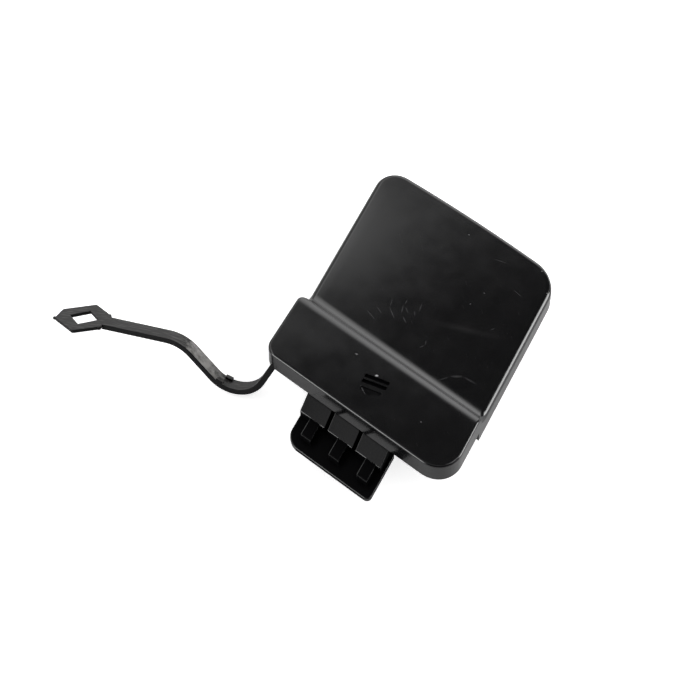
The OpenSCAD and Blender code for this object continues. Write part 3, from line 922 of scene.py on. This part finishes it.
def moulded_cover_material():
    """Injection-moulded polypropylene, satin: a dark even face with a faint orange-peel skin, rubbed
    lighter and duller where it was scraped, with a few specks of grit, a painted glint on the sunk
    arrow's upper bar and a painted highlight along its head's lower left edge."""
    colours = finish_colours()
    material, tree, output = new_material("injection-moulded polypropylene, satin")
    where = add_node(tree, "ShaderNodeTexCoord", place=(-1900, 0)).outputs["Object"]
    marks = wear_and_highlight_marks(tree, where, SPECKS_AND_GLINT + STROKES_AND_HIGHLIGHT, (-1700, 1500))
    fine = rubbed(tree, where, -52, 5, 0.22, 0.70, (-1100, 700))
    hairs = add_node(tree, "ShaderNodeMath", {"operation": "MULTIPLY", 1: 0.02}, {0: fine},
                     (-600, 600))
    # The wear mask also holds the painted glint and the painted highlight at the sunk arrow
    wear = add_node(tree, "ShaderNodeMath", {"operation": "MAXIMUM"},
                    {0: marks, 1: hairs.outputs["Value"]}, (-400, 500))
    tone = add_node(tree, "ShaderNodeMix", {
        "data_type": "RGBA", 6: colours.shell, 7: colours.scuff},
        {0: wear.outputs["Value"]}, (-150, 400))
    # The mould's polish is uneven over patches of about 9 mm
    patches = add_node(tree, "ShaderNodeTexNoise", {"Scale": 1 / (9 * MM), "Detail": 3.0},
                       {"Vector": where}, (-900, 100))
    polish = add_node(tree, "ShaderNodeMapRange",
                      {"From Min": 0.3, "From Max": 0.7, "To Min": 0.14, "To Max": 0.19},
                      {"Value": patches.outputs["Fac"]}, (-600, 100))
    dulled = add_node(tree, "ShaderNodeMath", {"operation": "MULTIPLY_ADD", 1: 0.8},
                      {0: wear.outputs["Value"], 2: polish.outputs["Result"]}, (-150, 100))
    # Orange peel of a smooth moulding, about 1.3 mm from top to top
    skin = add_node(tree, "ShaderNodeTexNoise", {"Scale": 1 / (1.3 * MM), "Detail": 2.0},
                    {"Vector": where}, (-900, -300))
    peel = add_node(tree, "ShaderNodeBump", {"Strength": 0.12, "Distance": 0.02 * MM},
                    {"Height": skin.outputs["Fac"]}, (-400, -300))
    scratched = add_node(tree, "ShaderNodeBump",
                         {"Strength": 0.5, "Distance": 0.1 * MM, "invert": True},
                         {"Height": wear.outputs["Value"], "Normal": peel.outputs["Normal"]},
                         (-150, -300))
    shader = add_node(tree, "ShaderNodeBsdfPrincipled", {"IOR": 1.49}, {
        "Base Color": tone.outputs[2], "Roughness": dulled.outputs["Value"],
        "Normal": scratched.outputs["Normal"]}, (500, 0))
    tree.links.new(shader.outputs["BSDF"], output.inputs["Surface"])
    return material


def matt_material(finish, tone, gloss):
    """Near-black polypropylene with little shine and a fine grain, as painted shade: it looks black
    beside the satin and weathered faces, where faces lie in shade."""
    material, tree, output = new_material("injection-moulded polypropylene, " + finish)
    where = add_node(tree, "ShaderNodeTexCoord", place=(-900, 0)).outputs["Object"]
    # Fine grain, drawn at 0.5 mm so that it shows
    grain = add_node(tree, "ShaderNodeTexNoise", {"Scale": 1 / (0.5 * MM), "Detail": 3.0},
                     {"Vector": where}, (-600, -200))
    dull = add_node(tree, "ShaderNodeMapRange", {"To Min": 0.45, "To Max": 0.65},
                    {"Value": grain.outputs["Fac"]}, (-300, 100))
    bump = add_node(tree, "ShaderNodeBump", {"Strength": 0.3, "Distance": 0.03 * MM},
                    {"Height": grain.outputs["Fac"]}, (-300, -200))
    shader = add_node(tree, "ShaderNodeBsdfPrincipled", {
        "Base Color": tone, "IOR": 1.49, "Specular IOR Level": gloss},
        {"Roughness": dull.outputs["Result"], "Normal": bump.outputs["Normal"]}, (500, 0))
    tree.links.new(shader.outputs["BSDF"], output.inputs["Surface"])
    return material


def tether_material(bent, reach):
    """Weathered polypropylene, matt: greyer and finely streaked on its flat faces, whitened where it
    was bent, and painted black near the cover as the shade it hangs in."""
    colours = finish_colours()
    material, tree, output = new_material("moulded polypropylene, weathered")
    where = add_node(tree, "ShaderNodeTexCoord", place=(-1500, 0)).outputs["Object"]
    near = add_node(tree, "ShaderNodeMapping", {
        "vector_type": "TEXTURE", "Location": bent * MM, "Scale": [reach * MM] * 3},
        {"Vector": where}, (-1300, 400))
    away = add_node(tree, "ShaderNodeVectorMath", {"operation": "LENGTH"},
                    {0: near.outputs["Vector"]}, (-1100, 400))
    # Whitening of bent plastic is blotchy, in blotches of about 2.5 mm
    blotches = add_node(tree, "ShaderNodeTexNoise",
                        {"Scale": 1 / (2.5 * MM), "Detail": 5.0, "Roughness": 0.65},
                        {"Vector": where}, (-1100, 200))
    ragged = add_node(tree, "ShaderNodeMath", {"operation": "MULTIPLY_ADD", 1: 1.8},
                      {0: blotches.outputs["Fac"], 2: away.outputs["Value"]}, (-900, 400))
    white = add_node(tree, "ShaderNodeMapRange", {"From Min": 1.8, "From Max": 1.0},
                     {"Value": ragged.outputs["Value"]}, (-700, 400))
    streaks = rubbed(tree, where, 8, 6, 0.5, 0.52, (-1100, -100))
    faint = add_node(tree, "ShaderNodeMath", {"operation": "MULTIPLY", 1: 0.08}, {0: streaks},
                     (-500, 0))
    pale = add_node(tree, "ShaderNodeMath", {"operation": "MAXIMUM"},
                    {0: white.outputs["Result"], 1: faint.outputs["Value"]}, (-300, 200))
    tone = add_node(tree, "ShaderNodeMix", {
        "data_type": "RGBA", 6: colours.tether, 7: colours.stress}, {0: pale.outputs["Value"]},
        (-100, 200))
    # Painted shade: the stretch under the cover, right of x = -54 mm, fades to the near-black of the
    # cover's shade
    split = add_node(tree, "ShaderNodeSeparateXYZ", None, {0: where}, (-700, -700))
    cover_shade = add_node(tree, "ShaderNodeMapRange", {"From Min": -54 * MM, "From Max": -49 * MM},
                    {"Value": split.outputs["X"]}, (-500, -700))
    with_painted_shade = add_node(tree, "ShaderNodeMix", {"data_type": "RGBA", 7: colours.edge},
                     {0: cover_shade.outputs["Result"], 6: tone.outputs[2]}, (150, 200))
    skin = add_node(tree, "ShaderNodeTexNoise", {"Scale": 1 / (0.8 * MM), "Detail": 4.0},
                    {"Vector": where}, (-600, -300))
    bump = add_node(tree, "ShaderNodeBump", {"Strength": 0.35, "Distance": 0.05 * MM},
                    {"Height": skin.outputs["Fac"]}, (-300, -300))
    shader = add_node(tree, "ShaderNodeBsdfPrincipled", {"Roughness": 0.5, "IOR": 1.49},
                      {"Base Color": with_painted_shade.outputs[2], "Normal": bump.outputs["Normal"]},
                      (500, 0))
    tree.links.new(shader.outputs["BSDF"], output.inputs["Surface"])
    return material


def floor_material():
    """Matte white studio floor: the camera sees it lit up to white, down to its own shadows."""
    colours = finish_colours()
    material, tree, output = new_material("studio floor, matte white")
    seen = add_node(tree, "ShaderNodeLightPath", place=(-600, 200))
    plain = add_node(tree, "ShaderNodeBsdfDiffuse", {"Color": colours.floor}, place=(-300, 0))
    glow = add_node(tree, "ShaderNodeEmission", {"Strength": FLOOR_GLOW}, place=(-300, -150))
    lit = add_node(tree, "ShaderNodeAddShader", None,
                   {0: plain.outputs["BSDF"], 1: glow.outputs["Emission"]}, (0, -100))
    mix = add_node(tree, "ShaderNodeMixShader", None, {
        0: seen.outputs["Is Camera Ray"], 1: plain.outputs["BSDF"], 2: lit.outputs["Shader"]},
        (300, 0))
    tree.links.new(mix.outputs["Shader"], output.inputs["Surface"])
    return material


# Stage

CAMERA_AZIMUTH, CAMERA_ELEVATION = 25.2, 53.0
CAMERA_DISTANCE = 900
CAMERA_TARGET = (-15.4, -28.8, 13.5)
# Focal length in pixels of the 700 pixel frame, read off the photograph's perspective
FOCAL_PIXELS, FRAME_PIXELS = 2340, 700
SENSOR = 36
# What the floor adds to its own light where the camera sees it
FLOOR_GLOW = 0.65
# The surroundings brighten towards this side, between these two shares of the way
BRIGHT_SIDE = (-0.845, 0.276, -0.458)
DARK_UNTIL, BRIGHT_FROM = 0.02, 0.15
DARK_STRENGTH, BRIGHT_STRENGTH = 0.02, 2.4
# and fade again from there on, by this much
FADE_FROM, FADE_UNTIL, FADE = 0.24, 0.5, 1.8


def direction(azimuth, elevation):
    """The unit vector towards an azimuth, from -Y turning to +X, and an elevation."""
    a, e = math.radians(azimuth), math.radians(elevation)
    return Vector((math.sin(a) * math.cos(e), -math.cos(a) * math.cos(e), math.sin(e)))


def soft_light(name, azimuth, elevation, distance, size, strength):
    """A square soft box that faces the object; its strength is what a surface of it shows."""
    target = Vector(CAMERA_TARGET) * MM
    data = bpy.data.lights.new(name, "AREA")
    data.shape = "RECTANGLE"
    data.size, data.size_y = (edge * MM for edge in size)
    area = data.size * data.size_y
    data.energy = strength * math.pi * area
    lamp = bpy.data.objects.new(name, data)
    away = direction(azimuth, elevation)
    lamp.location = target + away * distance * MM
    lamp.rotation_euler = away.to_track_quat("Z", "Y").to_euler()
    bpy.context.scene.collection.objects.link(lamp)
    return lamp


def add_camera():
    """The camera at the photograph's viewing angle."""
    data = bpy.data.cameras.new("camera")
    data.sensor_width = SENSOR
    data.lens = SENSOR * FOCAL_PIXELS / FRAME_PIXELS
    data.clip_end = 20
    camera = bpy.data.objects.new("camera", data)
    target = Vector(CAMERA_TARGET) * MM
    camera.location = target + direction(CAMERA_AZIMUTH, CAMERA_ELEVATION) * CAMERA_DISTANCE * MM
    camera.rotation_euler = (math.radians(90 - CAMERA_ELEVATION), 0,
                             math.radians(CAMERA_AZIMUTH))
    bpy.context.scene.collection.objects.link(camera)
    bpy.context.scene.camera = camera


def add_floor():
    """A large floor under the lowest point of the part."""
    bm = bmesh.new()
    bmesh.ops.create_grid(bm, x_segments=1, y_segments=1, size=6)
    bmesh.ops.translate(bm, vec=(0, 0, cad_box[0].z - 0.3 * MM), verts=bm.verts)
    mesh = bpy.data.meshes.new("floor")
    bm.to_mesh(mesh)
    bm.free()
    mesh.materials.append(floor_material())
    floor = bpy.data.objects.new("floor", mesh)
    bpy.context.scene.collection.objects.link(floor)


def add_world():
    """Soft surroundings that are bright at the left and dark over the right side, as a studio
    with one white wall is. The camera sees them white."""
    world = bpy.data.worlds.new("studio")
    bpy.context.scene.world = world
    world.use_nodes = True
    tree = world.node_tree
    tree.nodes.clear()
    seen = add_node(tree, "ShaderNodeLightPath", place=(-300, 300))
    where = add_node(tree, "ShaderNodeTexCoord", place=(-900, 0))
    side = add_node(tree, "ShaderNodeVectorMath", {"operation": "DOT_PRODUCT", 1: BRIGHT_SIDE},
                    {0: where.outputs["Generated"]}, (-700, 0))
    rise = add_node(tree, "ShaderNodeMapRange", {
        "interpolation_type": "SMOOTHSTEP", "From Min": DARK_UNTIL, "From Max": BRIGHT_FROM,
        "To Min": DARK_STRENGTH, "To Max": BRIGHT_STRENGTH}, {"Value": side.outputs["Value"]},
        (-500, 0))
    fade = add_node(tree, "ShaderNodeMapRange", {
        "interpolation_type": "SMOOTHSTEP", "From Min": FADE_FROM, "From Max": FADE_UNTIL,
        "To Min": 0, "To Max": FADE}, {"Value": side.outputs["Value"]}, (-500, -300))
    level = add_node(tree, "ShaderNodeMath", {"operation": "SUBTRACT"},
                     {0: rise.outputs["Result"], 1: fade.outputs["Result"]}, (-380, -100))
    studio = add_node(tree, "ShaderNodeBackground", {"Color": (1, 1, 1, 1)},
                      {"Strength": level.outputs["Value"]}, (-250, 0))
    white = add_node(tree, "ShaderNodeBackground", {"Color": (1, 1, 1, 1), "Strength": 1.0},
                     place=(-250, -150))
    mix = add_node(tree, "ShaderNodeMixShader", None, {
        0: seen.outputs["Is Camera Ray"], 1: studio.outputs["Background"],
        2: white.outputs["Background"]}, (0, 0))
    add_node(tree, "ShaderNodeOutputWorld", None, {"Surface": mix.outputs["Shader"]}, (250, 0))


# Operators

class TOWCOVER_OT_cover(Operator):
    """Models the stepped cover shell"""
    bl_idname = "towcover.cover"
    bl_label = "Cover shell"

    def execute(self, context):
        # The second material, a near-black matt, paints the shade in the sunk arrow and the step's
        # crease
        place_piece(cover_shell(Plan()), "cover_shell",
                    [moulded_cover_material(), matt_material(
                        "spark-eroded matt", finish_colours().recess, 0.04)])
        return {"FINISHED"}


class TOWCOVER_OT_tongue(Operator):
    """Models the ribbed tongue"""
    bl_idname = "towcover.tongue"
    bl_label = "Tongue"

    def execute(self, context):
        satin = bpy.data.materials["injection-moulded polypropylene, satin"]
        # The near-black matt paints the shade on the tongue's flat faces
        matt = bpy.data.materials["injection-moulded polypropylene, spark-eroded matt"]
        place_piece(tongue_mesh(Plan()), "tongue", [matt, satin])
        return {"FINISHED"}


class TOWCOVER_OT_underside(Operator):
    """Models the snap hooks and the stiffening ribs at the back"""
    bl_idname = "towcover.underside"
    bl_label = "Hooks and ribs"

    def execute(self, context):
        satin = bpy.data.materials["injection-moulded polypropylene, satin"]
        place_piece(hook_mesh(Plan()), "snap_hooks", [satin])
        place_piece(stiffener_mesh(Plan()), "stiffening_ribs", [satin])
        return {"FINISHED"}


class TOWCOVER_OT_tether(Operator):
    """Models the flat tether with its eye"""
    bl_idname = "towcover.tether"
    bl_label = "Tether"

    def execute(self, context):
        route = Route(Plan())
        point, _ = route.place(2, 0.5)
        flat = tether_material(route.into_cover() @ Vector((*point, 0)), route.t.rise)
        # The near-black matt paints the shade on the tether's narrow edges
        edges = matt_material("matt, painted edge shade", finish_colours().edge, 0.15)
        place_piece(tether_mesh(route), "tether", [flat, edges])
        return {"FINISHED"}


class TOWCOVER_OT_stage(Operator):
    """Sets the camera, the soft lights, the floor and the surroundings"""
    bl_idname = "towcover.stage"
    bl_label = "Stage"

    def execute(self, context):
        add_camera()
        add_floor()
        add_world()
        soft_light("front left", -42, 14, 900, (600, 500), 5.0)
        soft_light("right", 124, 16, 900, (500, 450), 10.0)
        soft_light("top right", 110, 55, 900, (500, 500), 2.5)
        soft_light("overhead", -10, 72, 900, (900, 500), 0.45)
        context.scene.view_settings.view_transform = "Standard"
        return {"FINISHED"}


STEPS = [TOWCOVER_OT_cover, TOWCOVER_OT_tongue, TOWCOVER_OT_underside, TOWCOVER_OT_tether,
         TOWCOVER_OT_stage]


class TOWCOVER_PT_panel(Panel):
    """Sidebar panel with the pieces, their sizes and colours"""
    bl_label = "Tow cover"
    bl_idname = "TOWCOVER_PT_panel"
    bl_space_type = "VIEW_3D"
    bl_region_type = "UI"
    bl_category = "Tow cover"

    def draw(self, context):
        for step in STEPS:
            self.layout.operator(step.bl_idname)
        for name in GROUPS:
            box = self.layout.box()
            box.label(text=name.capitalize())
            group = getattr(context.scene, "tow_cover_" + name)
            for key in group.__annotations__:
                box.prop(group, key)


def register():
    """Registers the classes and hangs the property groups on the scene."""
    for cls in [*GROUPS.values(), *STEPS, TOWCOVER_PT_panel]:
        bpy.utils.register_class(cls)
    for name, group in GROUPS.items():
        setattr(bpy.types.Scene, "tow_cover_" + name, PointerProperty(type=group))


def unregister():
    """Takes the classes and property groups off again."""
    for name in GROUPS:
        delattr(bpy.types.Scene, "tow_cover_" + name)
    for cls in reversed([*GROUPS.values(), *STEPS, TOWCOVER_PT_panel]):
        bpy.utils.unregister_class(cls)


def main():
    register()
    bpy.ops.towcover.cover()
    bpy.ops.towcover.tongue()
    bpy.ops.towcover.underside()
    bpy.ops.towcover.tether()
    bpy.ops.towcover.stage()


if __name__ == "__main__":
    main()
